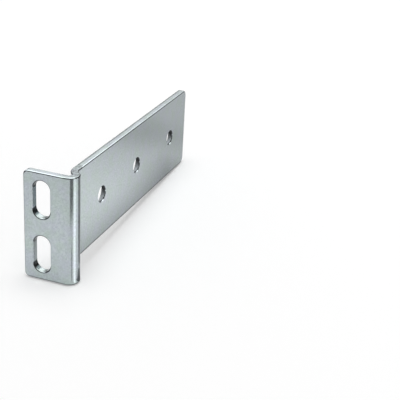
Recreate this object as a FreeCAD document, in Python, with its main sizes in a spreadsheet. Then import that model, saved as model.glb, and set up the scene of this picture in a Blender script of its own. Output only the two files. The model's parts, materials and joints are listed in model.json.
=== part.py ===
import FreeCAD, Part
import Sketcher
import math
import os

# A rack ear: one folded sheet of zinc plated steel.
# A short, tall flange screws to the rack rail through two upright slots, and a long side plate
# runs back along the device with three round holes, countersunk from the outer side. Between
# them the sheet makes a joggle: it folds past a right angle, runs back on a short slanted riser
# and folds again into the plate.
#
# Frame: the origin lies midway between the two slots on the face of the flange that meets the
# rail. +X points at the device, +Y to the back of the rack, +Z up.
# All sizes in mm, angles in degrees.

SIZES = {
    "sheet_thickness": 3.0,
    # Flange: its height is two slots, the web between them and a margin at either end, 44 in all.
    "slot_length": 15.0,
    "slot_width": 7.0,
    "slot_web": 7.4,
    "slot_end_margin": 3.3,
    "slot_to_outer_edge": 7.5,
    # From the outer edge of the flange to the outermost point of the front bend.
    "flange_width": 21.0,
    "flange_corner_radius": 2.0,
    # Joggle: the riser leans from the depth direction by the angle.
    "front_bend_inner_radius": 1.0,
    "joggle_angle": 45.0,
    "riser_straight": 0.9,
    "rear_bend_device_radius": 3.5,
    # Side plate: the overall depth is the sum of the four hole distances, 118 from the front face.
    "first_hole_from_front": 29.0,
    "front_hole_pitch": 33.5,
    "rear_hole_pitch": 37.0,
    "last_hole_to_end": 18.5,
    "hole_diameter": 6.5,
    # Straight wall that the countersink leaves in each hole.
    "hole_land": 0.25,
    "hole_line_below_top": 17.7,
    "bottom_step": 8.0,
    "plate_corner_radius": 3.0,
    # Where the blank steps up behind the front bend.
    "step_inner_radius": 1.0,
    "step_outer_radius": 1.0,
    # Tumbled edges all round the sheet and at the slots, and the broken rim of each hole on the
    # device side.
    "edge_rounding": 0.5,
    "hole_edge_break": 0.25,
}

# How far a cutting shape reaches past what it cuts.
OVERCUT = 1.0
# Width of the cut across the riser in sheet thicknesses: past both faces, short of the flange.
STEP_CUT_WIDTH = 1.2
# Places closer together than this count as one.
CLOSE = 1e-4
# Faces whose normals point less alike than this meet at a sharp edge.
SHARP_COSINE = 0.7

# The same lengths that the sketches combine, written in terms of the sheet.
FLANGE_HEIGHT = "(2 * Sizes.slot_length + Sizes.slot_web + 2 * Sizes.slot_end_margin)"
OUTER_BEND_RADIUS = "(Sizes.front_bend_inner_radius + Sizes.sheet_thickness)"
BEND_CENTRE_X = f"(Sizes.flange_width - Sizes.slot_to_outer_edge - {OUTER_BEND_RADIUS})"
OVERALL_DEPTH = (
    "(Sizes.first_hole_from_front + Sizes.front_hole_pitch"
    " + Sizes.rear_hole_pitch + Sizes.last_hole_to_end)"
)
JOGGLE_ANGLE = "Sizes.joggle_angle * 1 deg"

thickness = SIZES["sheet_thickness"]
inner_radius = SIZES["front_bend_inner_radius"]
outer_radius = inner_radius + thickness
rear_radius = SIZES["rear_bend_device_radius"]
angle = math.radians(SIZES["joggle_angle"])
straight = SIZES["riser_straight"]
flange_height = 2 * SIZES["slot_length"] + SIZES["slot_web"] + 2 * SIZES["slot_end_margin"]
outer_edge_x = -SIZES["slot_to_outer_edge"]
bend_x = SIZES["flange_width"] - SIZES["slot_to_outer_edge"] - outer_radius
end_y = (
    SIZES["first_hole_from_front"]
    + SIZES["front_hole_pitch"]
    + SIZES["rear_hole_pitch"]
    + SIZES["last_hole_to_end"]
    - thickness
)

os.makedirs("parts", exist_ok=True)
doc = FreeCAD.newDocument("RackEar")

sheet = doc.addObject("Spreadsheet::Sheet", "Sizes")
for row, (alias, value) in enumerate(SIZES.items(), start=1):
    sheet.set(f"A{row}", alias)
    sheet.set(f"B{row}", str(value))
    sheet.setAlias(f"B{row}", alias)
doc.recompute()

body = doc.addObject("PartDesign::Body", "EarBracket")
body.Label = "ear_bracket"
body.Placement = FreeCAD.Placement(FreeCAD.Vector(0, 0, 0), FreeCAD.Rotation(0, 0, 0, 1))


def origin_plane(role):
    """The body's own plane with the given role."""
    for feature in body.Origin.OriginFeatures:
        if feature.Role == role:
            return feature
    raise ValueError(role)


def new_sketch(name, role):
    """A sketch that lies on one of the body's own planes."""
    sketch = body.newObject("Sketcher::SketchObject", name)
    sketch.AttachmentSupport = [(origin_plane(role), "")]
    sketch.MapMode = "FlatFace"
    return sketch


def point(x, y):
    return FreeCAD.Vector(x, y, 0)


def add_line(sketch, start, end):
    return sketch.addGeometry(Part.LineSegment(point(*start), point(*end)), False)


def add_arc(sketch, centre, radius, start_degrees, end_degrees):
    """An arc drawn counter-clockwise from the first angle to the second."""
    circle = Part.Circle(point(*centre), FreeCAD.Vector(0, 0, 1), radius)
    arc = Part.ArcOfCircle(circle, math.radians(start_degrees), math.radians(end_degrees))
    return sketch.addGeometry(arc, False)


def bind(sketch, name, formula, *constraint):
    """Add a named dimension and let the sheet drive it."""
    index = sketch.addConstraint(Sketcher.Constraint(*constraint))
    sketch.renameConstraint(index, name)
    sketch.setExpression(f"Constraints.{name}", formula)


def join(sketch, first, first_end, second, second_end, smooth=False):
    """Close the gap between two curve ends, smoothly or at a corner."""
    kind = "Tangent" if smooth else "Coincident"
    sketch.addConstraint(Sketcher.Constraint(kind, first, first_end, second, second_end))


START, END, CENTRE = 1, 2, 3
ORIGIN = -1

# Plan view of the folded sheet, drawn as two parallel paths.
plan = new_sketch("SheetPlan", "XY_Plane")
turn_x, turn_y = math.cos(angle), math.sin(angle)
front_centre = (bend_x, inner_radius)
riser_start = (front_centre[0] + outer_radius * turn_x, front_centre[1] + outer_radius * turn_y)
riser_end = (riser_start[0] - straight * turn_y, riser_start[1] + straight * turn_x)
rear_centre = (riser_end[0] + rear_radius * turn_x, riser_end[1] + rear_radius * turn_y)
plate_x = rear_centre[0] - rear_radius
back_radius = rear_radius + thickness
back_riser_end = (rear_centre[0] - back_radius * turn_x, rear_centre[1] - back_radius * turn_y)
back_riser_start = (
    front_centre[0] + inner_radius * turn_x,
    front_centre[1] + inner_radius * turn_y,
)
turn = SIZES["joggle_angle"]

flange_front = add_line(plan, (outer_edge_x, -thickness), (bend_x, -thickness))
front_bend = add_arc(plan, front_centre, outer_radius, -90, turn)
riser_front = add_line(plan, riser_start, riser_end)
rear_bend = add_arc(plan, rear_centre, rear_radius, 180, 180 + turn)
plate_device = add_line(plan, (plate_x, rear_centre[1]), (plate_x, end_y))
plate_end = add_line(plan, (plate_x, end_y), (plate_x - thickness, end_y))
plate_outer = add_line(plan, (plate_x - thickness, end_y), (plate_x - thickness, rear_centre[1]))
rear_bend_outer = add_arc(plan, rear_centre, back_radius, 180, 180 + turn)
riser_back = add_line(plan, back_riser_end, back_riser_start)
front_bend_inner = add_arc(plan, front_centre, inner_radius, -90, turn)
flange_rail = add_line(plan, (bend_x, 0), (outer_edge_x, 0))
flange_edge = add_line(plan, (outer_edge_x, 0), (outer_edge_x, -thickness))

join(plan, flange_front, END, front_bend, START, smooth=True)
join(plan, front_bend, END, riser_front, START, smooth=True)
join(plan, riser_front, END, rear_bend, END, smooth=True)
join(plan, rear_bend, START, plate_device, START, smooth=True)
join(plan, plate_device, END, plate_end, START)
join(plan, plate_end, END, plate_outer, START)
join(plan, plate_outer, END, rear_bend_outer, START, smooth=True)
join(plan, rear_bend_outer, END, riser_back, START, smooth=True)
join(plan, riser_back, END, front_bend_inner, END, smooth=True)
join(plan, front_bend_inner, START, flange_rail, START, smooth=True)
join(plan, flange_rail, END, flange_edge, START)
join(plan, flange_edge, END, flange_front, START)
join(plan, front_bend, CENTRE, front_bend_inner, CENTRE)
join(plan, rear_bend, CENTRE, rear_bend_outer, CENTRE)
plan.addConstraint(Sketcher.Constraint("Horizontal", flange_front))
plan.addConstraint(Sketcher.Constraint("Horizontal", flange_rail))
plan.addConstraint(Sketcher.Constraint("Vertical", flange_edge))
plan.addConstraint(Sketcher.Constraint("Vertical", plate_device))
plan.addConstraint(Sketcher.Constraint("Vertical", plate_outer))
plan.addConstraint(Sketcher.Constraint("Horizontal", plate_end))
bind(plan, "inner_bend", "Sizes.front_bend_inner_radius", "Radius", front_bend_inner, inner_radius)
bind(plan, "outer_bend", OUTER_BEND_RADIUS, "Radius", front_bend, outer_radius)
bind(plan, "device_bend", "Sizes.rear_bend_device_radius", "Radius", rear_bend, rear_radius)
bind(
    plan,
    "far_bend",
    "Sizes.rear_bend_device_radius + Sizes.sheet_thickness",
    "Radius",
    rear_bend_outer,
    back_radius,
)
bind(plan, "riser_length", "Sizes.riser_straight", "Distance", riser_front, straight)
bind(
    plan,
    "riser_lean",
    f"90 deg + {JOGGLE_ANGLE}",
    "Angle",
    riser_front,
    math.radians(90) + angle,
)
bind(
    plan,
    "front_face",
    "Sizes.sheet_thickness",
    "DistanceY",
    flange_front,
    START,
    ORIGIN,
    START,
    thickness,
)
bind(
    plan,
    "outer_edge",
    "Sizes.slot_to_outer_edge",
    "DistanceX",
    flange_front,
    START,
    ORIGIN,
    START,
    -outer_edge_x,
)
bind(plan, "bend_centre", BEND_CENTRE_X, "DistanceX", ORIGIN, START, front_bend, CENTRE, bend_x)
bind(
    plan,
    "plate_reach",
    OVERALL_DEPTH,
    "DistanceY",
    flange_front,
    START,
    plate_device,
    END,
    end_y + thickness,
)

blank = body.newObject("PartDesign::Pad", "FoldedSheet")
blank.Profile = plan
blank.Midplane = True
blank.Length = flange_height
blank.setExpression("Length", FLANGE_HEIGHT)
plan.Visibility = False
doc.recompute()

# Step behind the front bend, cut square to the riser: the flange reaches lower than the plate.
half_height = flange_height / 2
step_top = SIZES["bottom_step"] - half_height
step_cut = new_sketch("StepOutline", "YZ_Plane")
MIDDLE_RADIUS = "(Sizes.front_bend_inner_radius + Sizes.sheet_thickness / 2)"
step_cut.AttachmentOffset = FreeCAD.Placement(
    FreeCAD.Vector(0, 0, 0), FreeCAD.Rotation(FreeCAD.Vector(0, 1, 0), SIZES["joggle_angle"])
)
step_cut.setExpression("AttachmentOffset.Rotation.Angle", JOGGLE_ANGLE)
step_cut.setExpression(
    "AttachmentOffset.Base.x",
    f"Sizes.front_bend_inner_radius + {MIDDLE_RADIUS} * sin({JOGGLE_ANGLE})"
    f" + Sizes.riser_straight / 2 * cos({JOGGLE_ANGLE})",
)
step_cut.setExpression(
    "AttachmentOffset.Base.z",
    f"{BEND_CENTRE_X} + {MIDDLE_RADIUS} * cos({JOGGLE_ANGLE})"
    f" - Sizes.riser_straight / 2 * sin({JOGGLE_ANGLE})",
)
outer_corner = SIZES["step_outer_radius"]
inner_corner = SIZES["step_inner_radius"]
# Along the riser the cut reaches into the rear bend, where the side view cut takes over.
REACH = "Sizes.sheet_thickness + Sizes.riser_straight + Sizes.step_inner_radius"
reach = thickness + straight + inner_corner
low = -half_height - OVERCUT
tab_corner = add_arc(step_cut, (-outer_corner, outer_corner - half_height), outer_corner, -90, 0)
tab_end = add_line(step_cut, (0, outer_corner - half_height), (0, step_top - inner_corner))
notch = add_arc(step_cut, (inner_corner, step_top - inner_corner), inner_corner, 90, 180)
notch_top = add_line(step_cut, (inner_corner, step_top), (reach, step_top))
notch_far = add_line(step_cut, (reach, step_top), (reach, low))
notch_low = add_line(step_cut, (reach, low), (-outer_corner, low))
notch_near = add_line(step_cut, (-outer_corner, low), (-outer_corner, -half_height))
join(step_cut, tab_corner, END, tab_end, START, smooth=True)
join(step_cut, tab_end, END, notch, END, smooth=True)
join(step_cut, notch, START, notch_top, START, smooth=True)
join(step_cut, notch_top, END, notch_far, START)
join(step_cut, notch_far, END, notch_low, START)
join(step_cut, notch_low, END, notch_near, START)
join(step_cut, notch_near, END, tab_corner, START)
step_cut.addConstraint(Sketcher.Constraint("Vertical", tab_end))
step_cut.addConstraint(Sketcher.Constraint("Horizontal", notch_top))
step_cut.addConstraint(Sketcher.Constraint("Vertical", notch_far))
step_cut.addConstraint(Sketcher.Constraint("Horizontal", notch_low))
step_cut.addConstraint(Sketcher.Constraint("Vertical", notch_near))
step_cut.addConstraint(Sketcher.Constraint("PointOnObject", tab_end, START, -2))
step_cut.addConstraint(Sketcher.Constraint("Vertical", tab_corner, START, tab_corner, CENTRE))
bind(step_cut, "tab_radius", "Sizes.step_outer_radius", "Radius", tab_corner, outer_corner)
bind(step_cut, "notch_radius", "Sizes.step_inner_radius", "Radius", notch, inner_corner)
bind(
    step_cut,
    "tab_bottom",
    f"{FLANGE_HEIGHT} / 2",
    "DistanceY",
    tab_corner,
    START,
    ORIGIN,
    START,
    half_height,
)
bind(
    step_cut,
    "step_rise",
    "Sizes.bottom_step",
    "DistanceY",
    tab_corner,
    START,
    notch_top,
    START,
    SIZES["bottom_step"],
)
bind(step_cut, "notch_reach", REACH, "DistanceX", ORIGIN, START, notch_far, START, reach)
step_cut.addConstraint(
    Sketcher.Constraint("DistanceY", notch_near, START, notch_near, END, OVERCUT)
)

step = body.newObject("PartDesign::Pocket", "StepBehindBend")
step.Profile = step_cut
step.Midplane = True
step.Length = thickness * STEP_CUT_WIDTH
step.setExpression("Length", f"Sizes.sheet_thickness * {STEP_CUT_WIDTH}")
step_cut.Visibility = False
doc.recompute()

# Below the bottom edge of the plate nothing is left from the rear bend to the far end.
plate_cut = new_sketch("PlateBottomOutline", "YZ_Plane")
CUT_START = (
    f"Sizes.front_bend_inner_radius + {OUTER_BEND_RADIUS} * sin({JOGGLE_ANGLE})"
    f" + Sizes.riser_straight / 2 * cos({JOGGLE_ANGLE}) + Sizes.step_inner_radius"
)
cut_start = riser_start[1] + straight / 2 * turn_x + inner_corner
cut_end = end_y + OVERCUT
cut_top = add_line(plate_cut, (cut_start, step_top), (cut_end, step_top))
cut_far = add_line(plate_cut, (cut_end, step_top), (cut_end, low))
cut_low = add_line(plate_cut, (cut_end, low), (cut_start, low))
cut_near = add_line(plate_cut, (cut_start, low), (cut_start, step_top))
join(plate_cut, cut_top, END, cut_far, START)
join(plate_cut, cut_far, END, cut_low, START)
join(plate_cut, cut_low, END, cut_near, START)
join(plate_cut, cut_near, END, cut_top, START)
plate_cut.addConstraint(Sketcher.Constraint("Horizontal", cut_top))
plate_cut.addConstraint(Sketcher.Constraint("Vertical", cut_far))
plate_cut.addConstraint(Sketcher.Constraint("Horizontal", cut_low))
plate_cut.addConstraint(Sketcher.Constraint("Vertical", cut_near))
bind(plate_cut, "cut_start", CUT_START, "DistanceX", ORIGIN, START, cut_top, START, cut_start)
bind(
    plate_cut,
    "cut_end",
    f"{OVERALL_DEPTH} - Sizes.sheet_thickness + {OVERCUT}",
    "DistanceX",
    ORIGIN,
    START,
    cut_top,
    END,
    cut_end,
)
bind(
    plate_cut,
    "bottom_edge",
    f"{FLANGE_HEIGHT} / 2 - Sizes.bottom_step",
    "DistanceY",
    cut_top,
    START,
    ORIGIN,
    START,
    -step_top,
)
bind(
    plate_cut,
    "cut_depth",
    f"Sizes.bottom_step + {OVERCUT}",
    "DistanceY",
    cut_low,
    END,
    cut_top,
    START,
    SIZES["bottom_step"] + OVERCUT,
)

plate_bottom = body.newObject("PartDesign::Pocket", "PlateBottom")
plate_bottom.Profile = plate_cut
plate_bottom.Type = "ThroughAll"
plate_bottom.Midplane = True
plate_cut.Visibility = False

# Two upright slots with round ends, as far above the origin as below it.
slots = new_sketch("SlotOutlines", "XZ_Plane")
slot_radius = SIZES["slot_width"] / 2
slot_height = (SIZES["slot_length"] + SIZES["slot_web"]) / 2
end_offset = SIZES["slot_length"] / 2 - slot_radius
for name, side in (("upper", 1), ("lower", -1)):
    centre_z = side * slot_height
    top = add_arc(slots, (0, centre_z + end_offset), slot_radius, 0, 180)
    left = add_line(
        slots,
        (-slot_radius, centre_z + end_offset),
        (-slot_radius, centre_z - end_offset),
    )
    bottom = add_arc(slots, (0, centre_z - end_offset), slot_radius, 180, 360)
    right = add_line(
        slots,
        (slot_radius, centre_z - end_offset),
        (slot_radius, centre_z + end_offset),
    )
    join(slots, top, END, left, START, smooth=True)
    join(slots, left, END, bottom, START, smooth=True)
    join(slots, bottom, END, right, START, smooth=True)
    join(slots, right, END, top, START, smooth=True)
    slots.addConstraint(Sketcher.Constraint("Vertical", left))
    slots.addConstraint(Sketcher.Constraint("Vertical", right))
    slots.addConstraint(Sketcher.Constraint("PointOnObject", top, CENTRE, -2))
    bind(slots, f"{name}_radius", "Sizes.slot_width / 2", "Radius", top, slot_radius)
    bind(
        slots,
        f"{name}_straight",
        "Sizes.slot_length - Sizes.slot_width",
        "DistanceY",
        bottom,
        CENTRE,
        top,
        CENTRE,
        2 * end_offset,
    )
    # Measured from the origin to the end arc that lies nearer to it.
    near_arc = bottom if side > 0 else top
    ends = (ORIGIN, START, near_arc, CENTRE) if side > 0 else (near_arc, CENTRE, ORIGIN, START)
    bind(
        slots,
        f"{name}_height",
        "Sizes.slot_web / 2 + Sizes.slot_width / 2",
        "DistanceY",
        *ends,
        slot_height - end_offset,
    )

slot_pocket = body.newObject("PartDesign::Pocket", "RackSlots")
slot_pocket.Profile = slots
slot_pocket.Type = "ThroughAll"
slot_pocket.Midplane = True
slots.Visibility = False

doc.recompute()


def edge_names(shape, wanted):
    """The names of the edges for which the test holds."""
    return [f"Edge{number}" for number, edge in enumerate(shape.Edges, start=1) if wanted(edge)]


def near(first, second):
    return abs(first - second) < CLOSE


def is_flange_corner(edge):
    """The two corners of the flange away from the bend, square edges along the depth."""
    box = edge.BoundBox
    along_depth = near(box.XLength, 0) and near(box.ZLength, 0)
    return along_depth and near(box.XMin, outer_edge_x) and near(abs(box.ZMin), half_height)


def is_plate_corner(edge):
    """The two corners at the far end of the plate, square edges through the sheet."""
    box = edge.BoundBox
    through_sheet = near(box.YLength, 0) and near(box.ZLength, 0)
    return through_sheet and near(box.YMin, end_y)


def is_sharp(shape, edge):
    """Whether the two faces at the edge meet at a marked angle halfway along it."""
    faces = shape.ancestorsOfType(edge, Part.Face)
    if len(faces) != 2:
        return False
    middle = edge.valueAt((edge.FirstParameter + edge.LastParameter) / 2)
    first, second = (face.normalAt(*face.Surface.parameter(middle)) for face in faces)
    return abs(first.dot(second)) < SHARP_COSINE


def add_rounding(name, base, edges, size):
    """Round the named edges of the feature before with a radius from the sheet."""
    fillet = body.newObject("PartDesign::Fillet", name)
    fillet.Base = (base, edges)
    fillet.Radius = SIZES[size]
    fillet.setExpression("Radius", f"Sizes.{size}")
    doc.recompute()
    return fillet


flange_corners = add_rounding(
    "FlangeCorners",
    slot_pocket,
    edge_names(slot_pocket.Shape, is_flange_corner),
    "flange_corner_radius",
)
plate_corners = add_rounding(
    "PlateCorners",
    flange_corners,
    edge_names(flange_corners.Shape, is_plate_corner),
    "plate_corner_radius",
)
rim_shape = plate_corners.Shape
tumbled_edges = add_rounding(
    "TumbledEdges",
    plate_corners,
    edge_names(rim_shape, lambda edge: is_sharp(rim_shape, edge)),
    "edge_rounding",
)

# Three round holes in a row along the plate, unevenly spaced.
holes = new_sketch("HoleCentres", "YZ_Plane")
hole_radius = SIZES["hole_diameter"] / 2
hole_z = half_height - SIZES["hole_line_below_top"]
HOLE_DEPTHS = (
    ("first", SIZES["first_hole_from_front"], "Sizes.first_hole_from_front"),
    ("second", SIZES["front_hole_pitch"], "Sizes.front_hole_pitch"),
    ("third", SIZES["rear_hole_pitch"], "Sizes.rear_hole_pitch"),
)
hole_y = -thickness
formula_so_far = "-Sizes.sheet_thickness"
for name, distance, formula in HOLE_DEPTHS:
    hole_y += distance
    formula_so_far += f" + {formula}"
    circle = Part.Circle(point(hole_y, hole_z), FreeCAD.Vector(0, 0, 1), hole_radius)
    hole = holes.addGeometry(circle, False)
    bind(holes, f"{name}_radius", "Sizes.hole_diameter / 2", "Radius", hole, hole_radius)
    bind(
        holes,
        f"{name}_depth",
        formula_so_far,
        "DistanceX",
        ORIGIN,
        START,
        hole,
        CENTRE,
        hole_y,
    )
    bind(
        holes,
        f"{name}_level",
        f"{FLANGE_HEIGHT} / 2 - Sizes.hole_line_below_top",
        "DistanceY",
        ORIGIN,
        START,
        hole,
        CENTRE,
        hole_z,
    )

hole_pocket = body.newObject("PartDesign::Pocket", "PlateHoles")
hole_pocket.Profile = holes
hole_pocket.Type = "ThroughAll"
hole_pocket.Midplane = True
holes.Visibility = False
doc.recompute()


def is_hole_rim(edge, face_x):
    """A full circle with the radius of the holes, on the face of the plate at the given place."""
    return (
        isinstance(edge.Curve, Part.Circle)
        and edge.isClosed()
        and near(edge.Curve.Radius, hole_radius)
        and near(edge.Curve.Center.x, face_x)
    )


def bevel_rims(name, base, face_x, size, formula):
    """Cut a bevel of 45 degrees into the rims of the three holes on one face of the plate."""
    bevel = body.newObject("PartDesign::Chamfer", name)
    bevel.Base = (base, edge_names(base.Shape, lambda edge: is_hole_rim(edge, face_x)))
    bevel.Size = size
    bevel.setExpression("Size", formula)
    doc.recompute()
    return bevel


rim_breaks = bevel_rims(
    "HoleRims",
    hole_pocket,
    plate_x,
    SIZES["hole_edge_break"],
    "Sizes.hole_edge_break",
)
# The heads of the screws sink into the outer side, clear of the rail.
countersinks = bevel_rims(
    "Countersinks",
    rim_breaks,
    plate_x - thickness,
    thickness - SIZES["hole_land"] - SIZES["hole_edge_break"],
    "Sizes.sheet_thickness - Sizes.hole_land - Sizes.hole_edge_break",
)
body.Tip = countersinks
doc.recompute()

for feature in doc.Objects:
    if "Invalid" in feature.State or "Error" in feature.State:
        raise RuntimeError(f"{feature.Name} did not build: {feature.State}")
if body.Shape.isNull() or not body.Shape.isValid() or len(body.Shape.Solids) != 1:
    raise RuntimeError("the bracket is not one valid solid")

body.Shape.exportStep(f"parts/{body.Label}.step")
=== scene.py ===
"""A rack ear of bright zinc plated sheet steel, resting on a pale studio floor."""

import json
import logging
import math
from dataclasses import dataclass, field, fields
from enum import Enum
from typing import Tuple, Union

import bpy
from mathutils import Matrix, Vector

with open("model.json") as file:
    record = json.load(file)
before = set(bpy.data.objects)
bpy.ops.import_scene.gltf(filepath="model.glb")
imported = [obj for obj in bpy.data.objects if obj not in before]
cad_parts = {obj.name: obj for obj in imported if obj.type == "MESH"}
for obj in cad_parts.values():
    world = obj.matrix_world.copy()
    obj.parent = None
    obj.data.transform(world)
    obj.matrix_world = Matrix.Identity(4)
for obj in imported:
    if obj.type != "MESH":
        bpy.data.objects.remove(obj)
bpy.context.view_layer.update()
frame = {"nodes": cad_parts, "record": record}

MM = 0.001
EAR_NODE = "ear_bracket"
# The bracket rests on the bottom of its flange and on the far corner of its plate.
TOUCH_FRONT = (0.0, 0.003, -0.022)
TOUCH_BACK = (0.0, 0.1135, -0.014)
FLOOR_LEAN = math.atan2(TOUCH_BACK[2] - TOUCH_FRONT[2], TOUCH_BACK[1] - TOUCH_FRONT[1])
WHITE = (1.0, 1.0, 1.0, 1.0)
NONE_TO_ALL = (0.0, 1.0)
ALL_TO_NONE = (1.0, 0.0)
# Most values of a cloudy pattern lie in the wide span. The narrow one makes sharper blotches.
WIDE = (0.3, 0.7)
NARROW = (0.35, 0.65)
# Past any place on the bracket, and past any part of a direction.
FAR = 2.0
EVERYWHERE = (-FAR, FAR)
# A face whose direction rises or falls by more than this is one of the sheet's level cut edges.
LEVEL = 0.97

log = logging.getLogger("rack_ear")

Socket = bpy.types.NodeSocket
Value = Union[float, Socket]
Colour = Tuple[float, float, float, float]
Place = Tuple[float, float, float]
Spot = Tuple[float, float]
Span = Tuple[float, float]


class Sum(Enum):
    """The sums that a bench reckons, by the names that the Math node has for them."""

    ADD = "ADD"
    SUBTRACT = "SUBTRACT"
    MULTIPLY = "MULTIPLY"
    DIVIDE = "DIVIDE"
    LOWEST = "MINIMUM"
    HIGHEST = "MAXIMUM"
    ABOVE = "GREATER_THAN"
    BELOW = "LESS_THAN"


class Mixed(Enum):
    """What the Mix node blends: its data type, and the places of its inputs and its result."""

    NUMBERS = ("FLOAT", 2, 3, 0)
    COLOURS = ("RGBA", 6, 7, 2)


class Stance(Enum):
    """How a card is put up, by its turn about the X axis."""

    UPRIGHT = math.pi / 2
    LYING = 0.0


class NodeBench:
    """Lays out shader nodes and joins their sockets."""

    def __init__(self, tree: bpy.types.NodeTree) -> None:
        """Start from an empty tree.

        Args:
            tree: The node tree of a material or of the world.
        """
        self.tree = tree
        tree.nodes.clear()

    def add(self, kind: str, **settings: object) -> bpy.types.Node:
        """Add a node and set its options.

        Args:
            kind: The node's type name.
            **settings: Options of the node, by attribute name.

        Returns:
            The new node.
        """
        node = self.tree.nodes.new(kind)
        for name, value in settings.items():
            setattr(node, name, value)
        return node

    def feed(self, value: Union[Value, Colour, Place], socket: Socket) -> None:
        """Give an input its value.

        Args:
            value: A number, a colour, a vector or the output of another node.
            socket: The input.
        """
        if isinstance(value, Socket):
            self.tree.links.new(value, socket)
        else:
            socket.default_value = value

    def finish(self, shader: Socket, kind: str = "ShaderNodeOutputMaterial") -> None:
        """Send the shader to the tree's output."""
        self.feed(shader, self.add(kind).inputs["Surface"])

    def reckon(self, kind: Sum, first: Value, second: Value) -> Socket:
        """Reckon with two values.

        Args:
            kind: The sum.
            first: The first value.
            second: The second value.

        Returns:
            The result.
        """
        node = self.add("ShaderNodeMath", operation=kind.value)
        self.feed(first, node.inputs[0])
        self.feed(second, node.inputs[1])
        return node.outputs[0]

    def product(self, first: Value, *others: Value) -> Value:
        """Multiply values, which for marks keeps what all of them hold.

        Args:
            first: The first value.
            *others: The other values.

        Returns:
            The product.
        """
        for other in others:
            first = self.reckon(Sum.MULTIPLY, first, other)
        return first

    def highest(self, first: Value, *others: Value) -> Value:
        """Take the highest of some values, which for marks keeps what any of them holds.

        Args:
            first: The first value.
            *others: The other values.

        Returns:
            The highest value.
        """
        for other in others:
            first = self.reckon(Sum.HIGHEST, first, other)
        return first

    def spread(self, value: Socket, span: Span, new_span: Span = NONE_TO_ALL) -> Socket:
        """Carry a span of values over to another span.

        Args:
            value: The value to carry over.
            span: The span that it has, beyond which the result stays the same.
            new_span: The results at both ends of the span.

        Returns:
            The value in its new span.
        """
        node = self.add("ShaderNodeMapRange")
        self.feed(value, node.inputs["Value"])
        for name, number in zip(("From Min", "From Max", "To Min", "To Max"), span + new_span):
            self.feed(number, node.inputs[name])
        return node.outputs["Result"]

    def blend(
        self,
        share: Socket,
        first: Union[Value, Colour],
        second: Union[Value, Colour],
        kind: Mixed = Mixed.NUMBERS,
    ) -> Socket:
        """Blend two numbers or two colours.

        Args:
            share: How much of the second one counts.
            first: The result where the share is 0.
            second: The result where the share is 1.
            kind: Whether they are numbers or colours.

        Returns:
            The blend.
        """
        data_type, first_place, second_place, result_place = kind.value
        node = self.add("ShaderNodeMix", data_type=data_type)
        self.feed(share, node.inputs["Factor"])
        self.feed(first, node.inputs[first_place])
        self.feed(second, node.inputs[second_place])
        return node.outputs[result_place]

    def split(self, vector: Socket) -> bpy.types.NodeOutputs:
        """Split a vector.

        Args:
            vector: The vector.

        Returns:
            Outputs with its X, Y and Z.
        """
        node = self.add("ShaderNodeSeparateXYZ")
        self.feed(vector, node.inputs["Vector"])
        return node.outputs

    def spot(self) -> bpy.types.NodeOutputs:
        """Take the X, Y and Z of the surface's place on its piece."""
        return self.split(self.add("ShaderNodeTexCoord").outputs["Object"])

    def stretch(self, place: Socket, shares: Place) -> Socket:
        """Stretch coordinates, so that a pattern on them runs in streaks.

        Args:
            place: The coordinates.
            shares: What is left of each of them. The streaks run where it is least.

        Returns:
            The new coordinates.
        """
        node = self.add("ShaderNodeVectorMath", operation="MULTIPLY")
        self.feed(place, node.inputs[0])
        self.feed(shares, node.inputs[1])
        return node.outputs[0]

    def dim(self, colour: Socket, tone: Socket) -> Socket:
        """Make a colour brighter or darker.

        Args:
            colour: The colour.
            tone: How bright it gets, with 1 for no change.

        Returns:
            The new colour.
        """
        node = self.add("ShaderNodeVectorMath", operation="SCALE")
        self.feed(colour, node.inputs["Vector"])
        self.feed(tone, node.inputs["Scale"])
        return node.outputs["Vector"]

    def squared_reach(self, first: Socket, second: Socket, centre: Spot = (0.0, 0.0)) -> Socket:
        """Reckon the square of the distance from a spot.

        Args:
            first: A coordinate.
            second: Another coordinate.
            centre: The same two coordinates of the spot.

        Returns:
            The squared distance.
        """
        across = self.reckon(Sum.SUBTRACT, first, centre[0])
        along = self.reckon(Sum.SUBTRACT, second, centre[1])
        return self.reckon(Sum.ADD, self.product(across, across), self.product(along, along))


def start_material(name: str) -> Tuple[bpy.types.Material, NodeBench]:
    """Start a material.

    Args:
        name: What to call it.

    Returns:
        The material, and a bench with its empty node tree.
    """
    material = bpy.data.materials.new(name)
    material.use_nodes = True
    return material, NodeBench(material.node_tree)


@dataclass(frozen=True)
class Surface:
    """The coordinates of the surface that a tree colours, in the frame of the piece itself."""

    place: Socket
    spot: bpy.types.NodeOutputs
    facing: bpy.types.NodeOutputs

    @classmethod
    def on(cls, bench: NodeBench) -> "Surface":
        """Take the coordinates into a tree.

        Args:
            bench: Where the nodes are laid out.

        Returns:
            The surface's place, its place in parts, and the parts of the way it faces.
        """
        where = bench.add("ShaderNodeTexCoord").outputs
        return cls(where["Object"], bench.split(where["Object"]), bench.split(where["Normal"]))


@dataclass(frozen=True)
class Zone:
    """A part of the bracket's surface, told by where it lies and which way it faces."""

    x: Span = EVERYWHERE
    y: Span = EVERYWHERE
    z: Span = EVERYWHERE
    facing_x: Span = EVERYWHERE
    facing_y: Span = EVERYWHERE
    facing_z: Span = EVERYWHERE

    def mark(self, bench: NodeBench, surface: Surface) -> Value:
        """Mark the zone.

        Args:
            bench: Where the nodes are laid out.
            surface: The bracket's surface.

        Returns:
            1 in the zone and 0 elsewhere.
        """
        bounds = (
            (surface.spot["X"], self.x),
            (surface.spot["Y"], self.y),
            (surface.spot["Z"], self.z),
            (surface.facing["X"], self.facing_x),
            (surface.facing["Y"], self.facing_y),
            (surface.facing["Z"], self.facing_z),
        )
        marks = []
        for value, (low, high) in bounds:
            if low > -FAR:
                marks.append(bench.reckon(Sum.ABOVE, value, low))
            if high < FAR:
                marks.append(bench.reckon(Sum.BELOW, value, high))
        return bench.product(1.0, *marks)


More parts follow.
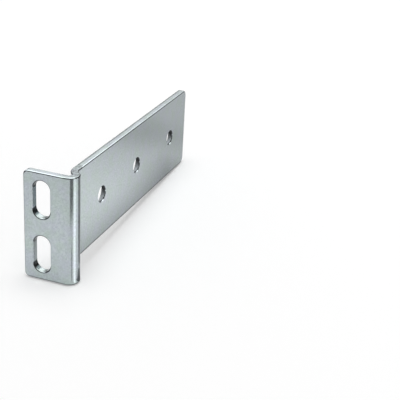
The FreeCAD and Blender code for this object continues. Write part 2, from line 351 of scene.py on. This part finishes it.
@dataclass(frozen=True)
class Shade:
    """A darker tone painted into the plating's colour in some zones, apart from those that it
    spares.
    """

    tone: float
    zones: Tuple[Zone, ...]
    spared: Tuple[Zone, ...] = ()

    def lay_over(self, tone: Value, bench: NodeBench, surface: Surface) -> Value:
        """Lay the shade over the tone that the plating has so far.

        Args:
            tone: The tone so far.
            bench: Where the nodes are laid out.
            surface: The bracket's surface.

        Returns:
            The tone with the shade.
        """
        share = bench.highest(*(zone.mark(bench, surface) for zone in self.zones))
        for zone in self.spared:
            share = bench.product(
                share, bench.reckon(Sum.SUBTRACT, 1.0, zone.mark(bench, surface))
            )
        return bench.product(tone, bench.blend(share, 1.0, self.tone))


# Where the cut edge turns round the outer corners of the flange and of the plate, and is no rim.
OUTER_CORNERS = (
    Zone(x=(-FAR, -0.0054), facing_y=(-0.10, 0.10)),
    Zone(y=(0.1118, FAR), facing_x=(-0.10, 0.10)),
)
# An upright rim is turned from the sheet's flat and cut sides, and is far from level.
TURNED = (-0.985, 0.985)
STEEP = (-0.5, 0.5)


@dataclass(frozen=True)
class PaintedEdgeShades:
    """Darker tones painted into the plating along the edges, on the fold and in the slots."""

    # Painted shade on the rims round the lower edges, which face down, up to their level part.
    underside: Shade = Shade(
        tone=0.24, zones=(Zone(facing_z=(-LEVEL, -0.10)),), spared=OUTER_CORNERS
    )
    # Painted shade on the rims round the upper edges, up to where they are nearly level.
    upper_rims: Shade = Shade(
        tone=0.13, zones=(Zone(facing_z=(0.05, 0.62)),), spared=OUTER_CORNERS
    )
    # Painted shade on the nearly level part of those rims on the plate's outer side and on the
    # flange's back.
    back_rims: Shade = Shade(
        tone=0.34,
        zones=(
            Zone(y=(0.009, FAR), facing_x=(-FAR, -0.15), facing_z=(0.50, 0.93)),
            Zone(y=(-FAR, 0.009), facing_y=(0.15, FAR), facing_z=(0.50, 0.93)),
        ),
    )
    # Painted shade on the upright rims of the plate's far end and of the flange's free edge.
    end_rims: Shade = Shade(
        tone=0.50,
        zones=(
            Zone(y=(0.1144, FAR), facing_x=TURNED, facing_y=TURNED, facing_z=STEEP),
            Zone(x=(-FAR, -0.0069), facing_x=TURNED, facing_y=TURNED, facing_z=STEEP),
        ),
    )
    # A darker line along the top of the plate, on its outer side.
    burr: Shade = Shade(
        tone=0.50, zones=(Zone(x=(-FAR, 0.0087), y=(0.0100, FAR), z=(0.0213, FAR)),)
    )
    # A painted contact shadow: a dark line along the plate's lower edge.
    foot_line: Shade = Shade(
        tone=0.44, zones=(Zone(y=(0.008, FAR), z=(-0.0141, -0.0131)),)
    )
    # Painted shade on the upper rims of the fold.
    fold_rims: Shade = Shade(
        tone=0.30,
        zones=(Zone(x=(0.0060, FAR), y=(-0.0010, 0.0092), facing_z=(0.05, 0.95)),),
    )
    # A painted shadow on the upper rim at the top of the flange, where the fold starts.
    fold_start: Shade = Shade(
        tone=0.08,
        zones=(Zone(x=(0.0088, 0.0112), y=(-FAR, -0.0015), facing_z=(0.02, 0.72)),),
    )
    # Painted shade on the walls of the two slots.
    slot_walls: Shade = Shade(
        tone=0.74,
        zones=(Zone(x=(-0.0037, 0.0037), y=(-0.0027, -0.0003), z=(-0.0190, 0.0190)),),
    )

    def listed(self) -> Tuple[Shade, ...]:
        """List the shades in the order in which they are laid."""
        return tuple(getattr(self, entry.name) for entry in fields(self))


@dataclass(frozen=True)
class HoleRow:
    """The round holes in the plate, each countersunk from the plate's outer side."""

    centres: Tuple[Spot, ...]
    widest: float = 0.0060
    walls: Zone = Zone(x=(0.0077, 0.0104))
    # Painted light on the walls: the further up a wall faces, the paler it gets in the first span.
    # In the second it gets dark.
    lit_from: Span = (0.0, 0.5)
    lit_until: Span = (0.60, 0.72)

    @classmethod
    def from_record(cls) -> "HoleRow":
        """Take the holes' centres from the part's own mounts.

        Returns:
            The row, with each centre's Y and Z.
        """
        mounts = frame["record"]["mounts"]
        bores = [mount["pos_m"] for mount in mounts if mount["kind"] == "bore"]
        return cls(tuple((place[1], place[2]) for place in bores))

    def inside(self, bench: NodeBench, surface: Surface) -> Value:
        """Mark the walls of the holes.

        Args:
            bench: Where the nodes are laid out.
            surface: The bracket's surface.

        Returns:
            1 on the walls of the holes and 0 elsewhere.
        """
        nearest: Value = FAR
        for centre in self.centres:
            reach = bench.squared_reach(surface.spot["Y"], surface.spot["Z"], centre)
            nearest = bench.reckon(Sum.LOWEST, reach, nearest)
        close = bench.reckon(Sum.BELOW, nearest, self.widest**2)
        return bench.product(close, self.walls.mark(bench, surface))

    def lit(self, bench: NodeBench, surface: Surface) -> Value:
        """Tell how well the light from above reaches the walls of the holes.

        Args:
            bench: Where the nodes are laid out.
            surface: The bracket's surface.

        Returns:
            1 where it reaches them in full and 0 where it doesn't.
        """
        rise = surface.facing["Z"]
        start = bench.spread(rise, self.lit_from)
        return bench.product(start, bench.spread(rise, self.lit_until, ALL_TO_NONE))


@dataclass(frozen=True)
class Pattern:
    """A cloudy pattern: blotches for each metre, and how many and how strong its finer layers."""

    scale: float
    detail: float = 2.0
    roughness: float = 0.5

    def lay(self, bench: NodeBench, place: Socket) -> Socket:
        """Lay the pattern on a surface.

        Args:
            bench: Where the nodes are laid out.
            place: The coordinates that the pattern follows.

        Returns:
            The pattern's value, from 0 to 1.
        """
        node = bench.add("ShaderNodeTexNoise")
        node.inputs["Scale"].default_value = self.scale
        node.inputs["Detail"].default_value = self.detail
        node.inputs["Roughness"].default_value = self.roughness
        bench.feed(place, node.inputs["Vector"])
        return node.outputs["Fac"]


@dataclass(frozen=True)
class ZincPlating:
    """Bright zinc on rolled steel: cool grey and faintly mottled, rough on the walls of the holes,
    with painted light and shade on those walls and painted shade along the edges.
    """

    holes: HoleRow
    # The painted shade along the edges, on the fold and in the slots.
    shades: PaintedEdgeShades = PaintedEdgeShades()
    name: str = "zinc_plating"
    green_grey: Colour = (0.435, 0.501, 0.488, 1.0)
    blue_grey: Colour = (0.455, 0.496, 0.535, 1.0)
    patches: Pattern = Pattern(250.0)
    # Painted shade and painted light on the walls of the holes, blended by how far up each wall
    # faces.
    hole_dark: Colour = (0.020, 0.023, 0.026, 1.0)
    hole_pale: Colour = (0.380, 0.410, 0.430, 1.0)
    smooth: float = 0.19
    rough: float = 0.26
    hole_rough: float = 0.80
    clouds: Pattern = Pattern(90.0, detail=3.0, roughness=0.6)
    grain: Pattern = Pattern(1500.0)
    grain_share: float = 0.09
    off_cut_edge: Zone = Zone(facing_z=(-LEVEL, LEVEL))
    # The streaks of the cut edge. On the plate they run back along it.
    streaks: Pattern = Pattern(1400.0)
    streak_share: float = 0.16
    streak_squeeze: float = 0.12
    on_plate: Zone = Zone(y=(0.010, FAR))
    # The torn look of the cut edge where the sheet is folded.
    tears: Pattern = Pattern(900.0, detail=3.0, roughness=0.7)
    tear_share: float = 0.30
    fold_tone: float = 0.66
    on_fold: Zone = Zone(x=(0.0062, FAR), y=(-0.0012, 0.0105))
    dents: Pattern = Pattern(900.0, detail=3.0, roughness=0.6)
    dent_strength: float = 0.25
    dent_depth: float = 0.00001

    def cut_edge(self, bench: NodeBench, surface: Surface) -> Socket:
        """Make the streaks of a sheared edge, which run along the sheet and break up on the fold.

        Args:
            bench: Where the nodes are laid out.
            surface: The bracket's surface.

        Returns:
            How bright the metal is, near 1.
        """
        squeeze = self.streak_squeeze
        across = self.streaks.lay(bench, bench.stretch(surface.place, (squeeze, 1.0, 1.0)))
        along = self.streaks.lay(bench, bench.stretch(surface.place, (1.0, squeeze, 1.0)))
        streaks = bench.blend(self.on_plate.mark(bench, surface), across, along)
        plain = bench.spread(streaks, WIDE, (1.0 - self.streak_share, 1.0 + self.streak_share))
        strained = bench.spread(
            self.tears.lay(bench, surface.place),
            NARROW,
            (self.fold_tone - self.tear_share, self.fold_tone + self.tear_share),
        )
        return bench.blend(self.on_fold.mark(bench, surface), plain, strained)

    def tone(self, bench: NodeBench, surface: Surface) -> Value:
        """Make the unevenness in how bright the metal is, with painted shade along the edges and
        in the slots.

        Args:
            bench: Where the nodes are laid out.
            surface: The bracket's surface.

        Returns:
            A value near 1 that is lower along the edges and in the slots.
        """
        grain = self.grain.lay(bench, surface.place)
        even = bench.spread(grain, WIDE, (1.0 - self.grain_share, 1.0 + self.grain_share))
        off_cut_edge = self.off_cut_edge.mark(bench, surface)
        tone = bench.blend(off_cut_edge, self.cut_edge(bench, surface), even)
        # Lay the painted shade over the tone.
        for shade in self.shades.listed():
            tone = shade.lay_over(tone, bench, surface)
        return tone

    def colour(self, bench: NodeBench, surface: Surface, in_hole: Value) -> Socket:
        """Make the colour of the metal, with painted light and shade on the walls of the holes.

        Args:
            bench: Where the nodes are laid out.
            surface: The bracket's surface.
            in_hole: The mark of the walls of the holes.

        Returns:
            The colour.
        """
        share = bench.spread(self.patches.lay(bench, surface.place), NARROW)
        plated = bench.blend(share, self.green_grey, self.blue_grey, Mixed.COLOURS)
        lit = self.holes.lit(bench, surface)
        wall = bench.blend(lit, self.hole_dark, self.hole_pale, Mixed.COLOURS)
        toned = bench.dim(plated, self.tone(bench, surface))
        return bench.blend(in_hole, toned, wall, Mixed.COLOURS)

    def material(self) -> bpy.types.Material:
        """Build the finish.

        Returns:
            The material.
        """
        material, bench = start_material(self.name)
        surface = Surface.on(bench)
        in_hole = self.holes.inside(bench, surface)
        shader = bench.add("ShaderNodeBsdfPrincipled")
        shader.inputs["Metallic"].default_value = 1.0
        bench.feed(self.colour(bench, surface, in_hole), shader.inputs["Base Color"])
        clouds = self.clouds.lay(bench, surface.place)
        gloss = bench.spread(clouds, WIDE, (self.rough, self.smooth))
        bench.feed(bench.blend(in_hole, gloss, self.hole_rough), shader.inputs["Roughness"])
        bump = bench.add("ShaderNodeBump")
        bump.inputs["Strength"].default_value = self.dent_strength
        bump.inputs["Distance"].default_value = self.dent_depth
        bench.feed(self.dents.lay(bench, surface.place), bump.inputs["Height"])
        bench.feed(bump.outputs["Normal"], shader.inputs["Normal"])
        bench.finish(shader.outputs["BSDF"])
        return material


@dataclass
class EarBracket:
    """The folded sheet, whose solid already has its true form."""

    finish: ZincPlating = field(default_factory=lambda: ZincPlating(HoleRow.from_record()))

    def dress(self) -> bpy.types.Object:
        """Give the sheet its plating.

        Returns:
            The dressed sheet.
        """
        sheet = frame["nodes"][EAR_NODE]
        sheet.data.materials.clear()
        sheet.data.materials.append(self.finish.material())
        log.info("%s: plated", sheet.name)
        return sheet


@dataclass(frozen=True)
class PalePaper:
    """White studio paper that keeps the shadows that fall on it."""

    name: str = "pale_paper"
    colour: Colour = (0.81, 0.81, 0.81, 1.0)
    lift: float = 0.205
    far_lift: float = 0.315
    lamp_height: float = 0.92

    def evened(self, bench: NodeBench) -> Socket:
        """Lift the paper where it lies further from the lamp, so that it looks evenly pale.

        Args:
            bench: Where the nodes are laid out.

        Returns:
            How much the paper is lifted.
        """
        spot = bench.spot()
        square = bench.squared_reach(spot["X"], spot["Y"])
        reach = bench.reckon(Sum.DIVIDE, square, self.lamp_height**2)
        reach = bench.reckon(Sum.ADD, reach, 1.0)
        left = bench.reckon(Sum.DIVIDE, 1.0, bench.product(reach, reach))
        return bench.spread(left, NONE_TO_ALL, (self.lift + self.far_lift, self.lift))

    def material(self) -> bpy.types.Material:
        """Build the paper.

        Returns:
            The material.
        """
        material, bench = start_material(self.name)
        diffuse = bench.add("ShaderNodeBsdfDiffuse")
        diffuse.inputs["Color"].default_value = self.colour
        glow = bench.add("ShaderNodeEmission")
        path = bench.add("ShaderNodeLightPath").outputs
        seen = bench.highest(
            path["Is Camera Ray"], path["Is Glossy Ray"], path["Is Transmission Ray"]
        )
        bench.feed(bench.product(seen, self.evened(bench)), glow.inputs["Strength"])
        both = bench.add("ShaderNodeAddShader")
        bench.feed(diffuse.outputs["BSDF"], both.inputs[0])
        bench.feed(glow.outputs["Emission"], both.inputs[1])
        bench.finish(both.outputs["Shader"])
        return material


@dataclass
class StudioFloor:
    """The paper under the bracket, leaning so that it meets both of the places that touch it."""

    half_width: float = 2.5
    paper: PalePaper = field(default_factory=PalePaper)

    def build(self) -> bpy.types.Object:
        """Lay the floor.

        Returns:
            The floor.
        """
        bpy.ops.object.select_all(action="DESELECT")
        bpy.ops.mesh.primitive_plane_add(
            size=2 * self.half_width, location=TOUCH_FRONT, rotation=(FLOOR_LEAN, 0.0, 0.0)
        )
        floor = bpy.context.object
        floor.name = "studio_floor"
        bpy.ops.object.transform_apply(location=True, rotation=True, scale=True)
        floor.data.materials.append(self.paper.material())
        log.info("studio_floor: laid")
        return floor


@dataclass(frozen=True)
class SoftBox:
    """A square lamp that looks at the bracket, and that the metal doesn't mirror."""

    name: str
    place: Place
    size: float
    power: float

    def build(self, target: Place) -> bpy.types.Object:
        """Hang the lamp.

        Args:
            target: The point that it shines at.

        Returns:
            The lamp.
        """
        lamp = bpy.data.lights.new(self.name, "AREA")
        lamp.shape = "SQUARE"
        lamp.size = self.size
        lamp.energy = self.power
        holder = bpy.data.objects.new(self.name, lamp)
        bpy.context.collection.objects.link(holder)
        holder.location = self.place
        facing = (Vector(target) - Vector(self.place)).to_track_quat("-Z", "Y")
        holder.rotation_euler = facing.to_euler()
        holder.visible_glossy = False
        log.info("%s: hung", self.name)
        return holder


@dataclass(frozen=True)
class CardTone:
    """The even tone of a card, with 1 for white."""

    name: str
    tone: float

    def material(self) -> bpy.types.Material:
        """Build the tone.

        Returns:
            The material.
        """
        material, bench = start_material(self.name)
        glow = bench.add("ShaderNodeEmission")
        glow.inputs["Strength"].default_value = self.tone
        bench.finish(glow.outputs["Emission"])
        return material


def show_to_metal_only(card: bpy.types.Object, material: bpy.types.Material) -> None:
    """Cover a card and hide it from all but mirrored rays.

    Args:
        card: The card or wall.
        material: How it looks in the metal.
    """
    card.data.materials.append(material)
    card.visible_camera = False
    card.visible_diffuse = False
    card.visible_shadow = False
    card.visible_transmission = False


def lay_rectangle(name: str, low: Spot, high: Spot, lift: float) -> bpy.types.Object:
    """Lay a rectangle just above the leaning floor.

    Args:
        name: What to call it.
        low: Its lowest X and Y.
        high: Its highest X and Y.
        lift: How far it lies above the floor.

    Returns:
        The rectangle.
    """
    middle = ((low[0] + high[0]) / 2, (low[1] + high[1]) / 2)
    rise = TOUCH_FRONT[2] + (middle[1] - TOUCH_FRONT[1]) * math.tan(FLOOR_LEAN) + lift
    bpy.ops.object.select_all(action="DESELECT")
    bpy.ops.mesh.primitive_plane_add(size=1.0)
    sheet = bpy.context.object
    sheet.name = name
    sheet.scale = (high[0] - low[0], high[1] - low[1], 1.0)
    bpy.ops.object.transform_apply(location=False, rotation=False, scale=True)
    sheet.rotation_euler = (FLOOR_LEAN, 0.0, 0.0)
    sheet.location = (*middle, rise)
    bpy.ops.object.transform_apply(location=True, rotation=True, scale=True)
    return sheet


@dataclass(frozen=True)
class MirrorCard:
    """A plain card that only the metal mirrors: a grey flag or a pale reflector."""

    name: str
    place: Place
    width: float
    height: float
    tone: float
    turn: float = 0.0
    stance: Stance = Stance.UPRIGHT
    near_share: float = 1.0

    def narrow(self, card: bpy.types.Object) -> None:
        """Narrow the near edge of a card that still lies square round the origin.

        Args:
            card: The card.
        """
        bpy.ops.object.mode_set(mode="EDIT")
        bpy.ops.mesh.select_mode(type="VERT")
        bpy.ops.mesh.select_all(action="DESELECT")
        bpy.ops.object.mode_set(mode="OBJECT")
        for corner in card.data.vertices:
            corner.select = corner.co.y < 0.0
        bpy.ops.object.mode_set(mode="EDIT")
        bpy.ops.transform.resize(value=(self.near_share, 1.0, 1.0))
        bpy.ops.object.mode_set(mode="OBJECT")

    def build(self) -> bpy.types.Object:
        """Put the card in its place.

        Returns:
            The card.
        """
        bpy.ops.object.select_all(action="DESELECT")
        bpy.ops.mesh.primitive_plane_add(size=1.0)
        card = bpy.context.object
        card.name = self.name
        self.narrow(card)
        card.scale = (self.width, self.height, 1.0)
        bpy.ops.object.transform_apply(location=False, rotation=False, scale=True)
        lean = Matrix.Rotation(FLOOR_LEAN, 4, "X")
        turned = Matrix.Rotation(math.radians(self.turn), 4, "Z")
        stood = Matrix.Rotation(self.stance.value, 4, "X")
        card.matrix_world = Matrix.Translation(self.place) @ lean @ turned @ stood
        bpy.ops.object.transform_apply(location=True, rotation=True, scale=True)
        show_to_metal_only(card, CardTone(self.name, self.tone).material())
        log.info("%s: put up", card.name)
        return card


@dataclass(frozen=True)
class GradedTone:
    """A tone that falls off towards the back, with painted shade towards the plate's foot and a
    dim cloud.
    """

    name: str
    tone: float = 1.11
    back_tone: float = 0.72
    fall: Span = (0.070, 0.138)
    # Painted shade of the floor beside the plate's foot, in the tone that the metal mirrors.
    foot: Span = (0.0112, 0.027)
    foot_share: float = 0.44
    # Towards the plate's far end the painted shade at its foot is lighter.
    far: Span = (0.097, 0.120)
    far_share: float = 0.88
    cloud_place: Spot = (0.045, 0.136)
    cloud_reach: float = 0.024
    cloud_share: float = 0.78

    def material(self) -> bpy.types.Material:
        """Build the tone.

        Returns:
            The material.
        """
        material, bench = start_material(self.name)
        spot = bench.spot()
        behind = bench.spread(spot["Y"], self.fall, (self.tone, self.back_tone))
        near_foot = bench.spread(spot["X"], self.foot, (self.foot_share, 1.0))
        far_foot = bench.spread(spot["Y"], self.far, (self.foot_share, self.far_share))
        square = bench.squared_reach(spot["X"], spot["Y"], self.cloud_place)
        cloud = bench.spread(square, (0.0, self.cloud_reach**2), (self.cloud_share, 1.0))
        tone = bench.product(behind, bench.highest(near_foot, far_foot), cloud)
        glow = bench.add("ShaderNodeEmission")
        bench.feed(tone, glow.inputs["Strength"])
        bench.finish(glow.outputs["Emission"])
        return material


@dataclass(frozen=True)
class GradedSheet:
    """A sheet on the floor that only the metal mirrors, darker behind the plate, with painted
    shade beside it.
    """

    name: str = "graded_sheet"
    low: Spot = (0.0112, 0.011)
    high: Spot = (0.110, 0.320)
    lift: float = 0.0003

    def build(self) -> bpy.types.Object:
        """Lay the sheet.

        Returns:
            The sheet.
        """
        sheet = lay_rectangle(self.name, self.low, self.high, self.lift)
        show_to_metal_only(sheet, GradedTone(self.name).material())
        log.info("%s: laid", sheet.name)
        return sheet


@dataclass(frozen=True)
class ThinCloth:
    """A cloth that lets most light through, and all of it where it thins out at its edges."""

    name: str
    passing: float = 0.87
    left_edge: Span = (-0.008, 0.0)
    front_edge: Span = (0.006, 0.018)
    back_edge: Span = (0.050, 0.114)

    def material(self) -> bpy.types.Material:
        """Build the cloth.

        Returns:
            The material.
        """
        material, bench = start_material(self.name)
        spot = bench.spot()
        sideways = bench.spread(spot["X"], self.left_edge)
        frontwise = bench.spread(spot["Y"], self.front_edge)
        backwise = bench.spread(spot["Y"], self.back_edge, ALL_TO_NONE)
        thick = bench.product(sideways, frontwise, backwise)
        clear = bench.add("ShaderNodeBsdfTransparent")
        bench.feed(bench.blend(thick, 1.0, self.passing), clear.inputs["Color"])
        bench.finish(clear.outputs["BSDF"])
        return material


@dataclass(frozen=True)
class ShadeGauze:
    """A thin gauze just above the floor behind the plate, which dims the light under the plate."""

    name: str = "shade_gauze"
    low: Spot = (-0.012, 0.006)
    high: Spot = (0.0078, 0.114)
    lift: float = 0.0006

    def build(self) -> bpy.types.Object:
        """Stretch the gauze.

        Returns:
            The gauze.
        """
        gauze = lay_rectangle(self.name, self.low, self.high, self.lift)
        gauze.data.materials.append(ThinCloth(self.name).material())
        gauze.visible_camera = False
        gauze.visible_glossy = False
        gauze.visible_transmission = False
        log.info("%s: stretched", gauze.name)
        return gauze


@dataclass(frozen=True)
class DarkSurround:
    """A low dark wall all round the studio table that only the metal mirrors."""

    name: str = "dark_surround"
    centre: Spot = (0.0, 0.05)
    radius: float = 0.28
    low: float = -0.08
    high: float = 0.060
    sides: int = 96
    tone: float = 0.04

    def build(self) -> bpy.types.Object:
        """Put up the wall.

        Returns:
            The wall.
        """
        bpy.ops.object.select_all(action="DESELECT")
        bpy.ops.mesh.primitive_cylinder_add(
            vertices=self.sides,
            radius=self.radius,
            depth=self.high - self.low,
            end_fill_type="NOTHING",
            location=(*self.centre, (self.high + self.low) / 2),
        )
        wall = bpy.context.object
        wall.name = self.name
        bpy.ops.object.transform_apply(location=True, rotation=True, scale=True)
        show_to_metal_only(wall, CardTone(self.name, self.tone).material())
        log.info("%s: put up", wall.name)
        return wall


@dataclass(frozen=True)
class StudioSky:
    """The room's light: a pale wall, a bright ceiling and its dimmer middle, seen in the metal."""

    name: str = "studio_sky"
    daylight: float = 0.57
    wall_tone: float = 0.97
    ceiling_tone: float = 2.6
    ceiling_start: Span = (0.44, 0.52)
    zenith_tone: float = 1.35
    zenith_start: Span = (0.90, 0.98)

    def build(self) -> bpy.types.World:
        """Set the sky.

        Returns:
            The world.
        """
        world = bpy.data.worlds.new(self.name)
        bpy.context.scene.world = world
        world.use_nodes = True
        bench = NodeBench(world.node_tree)
        height = bench.split(bench.add("ShaderNodeTexCoord").outputs["Generated"])["Z"]
        tones = (self.wall_tone, self.ceiling_tone)
        mirrored = bench.spread(height, self.ceiling_start, tones)
        overhead = bench.spread(height, self.zenith_start)
        mirrored = bench.blend(overhead, mirrored, self.zenith_tone)
        path = bench.add("ShaderNodeLightPath").outputs
        strength = bench.blend(path["Is Glossy Ray"], self.daylight, mirrored)
        seen = bench.highest(path["Is Camera Ray"], path["Is Transmission Ray"])
        strength = bench.blend(seen, strength, 1.0)
        glow = bench.add("ShaderNodeBackground")
        glow.inputs["Color"].default_value = WHITE
        bench.feed(strength, glow.inputs["Strength"])
        bench.finish(glow.outputs["Background"], "ShaderNodeOutputWorld")
        log.info("%s: set", world.name)
        return world


@dataclass
class Studio:
    """The light round the bracket and the cards that it mirrors."""

    target: Place = (0.0, 0.05, 0.0)
    sky: StudioSky = field(default_factory=StudioSky)
    lamp: SoftBox = SoftBox("top_lamp", place=(0.03, 0.04, 0.9), size=0.6, power=3.9)
    cards: Tuple[MirrorCard, ...] = (
        MirrorCard(
            "camera_side_flag",
            place=(0.0585, -0.0402, 0.0),
            width=0.042,
            height=0.044,
            tone=0.16,
            turn=40.0,
        ),
        MirrorCard(
            "bend_flag",
            place=(0.0190, 0.0105, 0.0),
            width=0.009,
            height=0.048,
            tone=0.26,
            turn=155.0,
        ),
        MirrorCard(
            "bend_foot_flag",
            place=(0.0160, 0.0056, -0.0215),
            width=0.0085,
            height=0.0097,
            tone=0.17,
            turn=-25.0,
            stance=Stance.LYING,
            near_share=0.5,
        ),
        MirrorCard(
            "fold_shade",
            place=(0.0272, -0.0143, -0.0230),
            width=0.0072,
            height=0.031,
            tone=0.28,
            turn=-128.6,
            stance=Stance.LYING,
            near_share=0.08,
        ),
        MirrorCard(
            "front_sheet",
            place=(-0.022, -0.045, -0.0252),
            width=0.075,
            height=0.040,
            tone=1.03,
            stance=Stance.LYING,
        ),
        MirrorCard(
            "pale_reflector",
            place=(0.0674, -0.0078, -0.0225),
            width=0.056,
            height=0.107,
            tone=1.9,
            turn=-97.0,
            stance=Stance.LYING,
            near_share=0.02,
        ),
    )
    graded_sheet: GradedSheet = field(default_factory=GradedSheet)
    gauze: ShadeGauze = field(default_factory=ShadeGauze)
    surround: DarkSurround = field(default_factory=DarkSurround)

    def build(self) -> None:
        """Set the sky, hang the lamp and put up the cards."""
        self.sky.build()
        self.lamp.build(self.target)
        for card in self.cards:
            card.build()
        self.graded_sheet.build()
        self.gauze.build()
        self.surround.build()


@dataclass
class PhotoCamera:
    """The camera, which stands to the right of the bracket and looks down on it."""

    name: str = "photo_camera"
    place_mm: Place = (157.29, -283.14, 158.55)
    focus_pixels: float = 953.42
    frame_pixels: float = 400.0
    sensor_mm: float = 36.0
    yaw: float = 0.33021
    pitch: float = 0.42578
    roll: float = 0.06243
    clip: Span = (0.01, 20.0)

    def build(self) -> bpy.types.Object:
        """Place the camera.

        Returns:
            The camera.
        """
        camera = bpy.data.cameras.new(self.name)
        camera.sensor_width = self.sensor_mm
        camera.lens = self.focus_pixels / self.frame_pixels * self.sensor_mm
        camera.clip_start, camera.clip_end = self.clip
        holder = bpy.data.objects.new(self.name, camera)
        bpy.context.collection.objects.link(holder)
        turn = (
            Matrix.Rotation(self.yaw, 4, "Z")
            @ Matrix.Rotation(math.pi / 2 - self.pitch, 4, "X")
            @ Matrix.Rotation(self.roll, 4, "Z")
        )
        holder.matrix_world = Matrix.Translation(Vector(self.place_mm) * MM) @ turn
        bpy.context.scene.camera = holder
        log.info("%s: placed", holder.name)
        return holder


def main() -> None:
    """Dress the bracket, then build the floor, the light and the camera."""
    logging.basicConfig(level=logging.INFO, format="%(message)s")
    bpy.context.scene.view_settings.view_transform = "Standard"
    EarBracket().dress()
    StudioFloor().build()
    Studio().build()
    PhotoCamera().build()


if __name__ == "__main__":
    main()
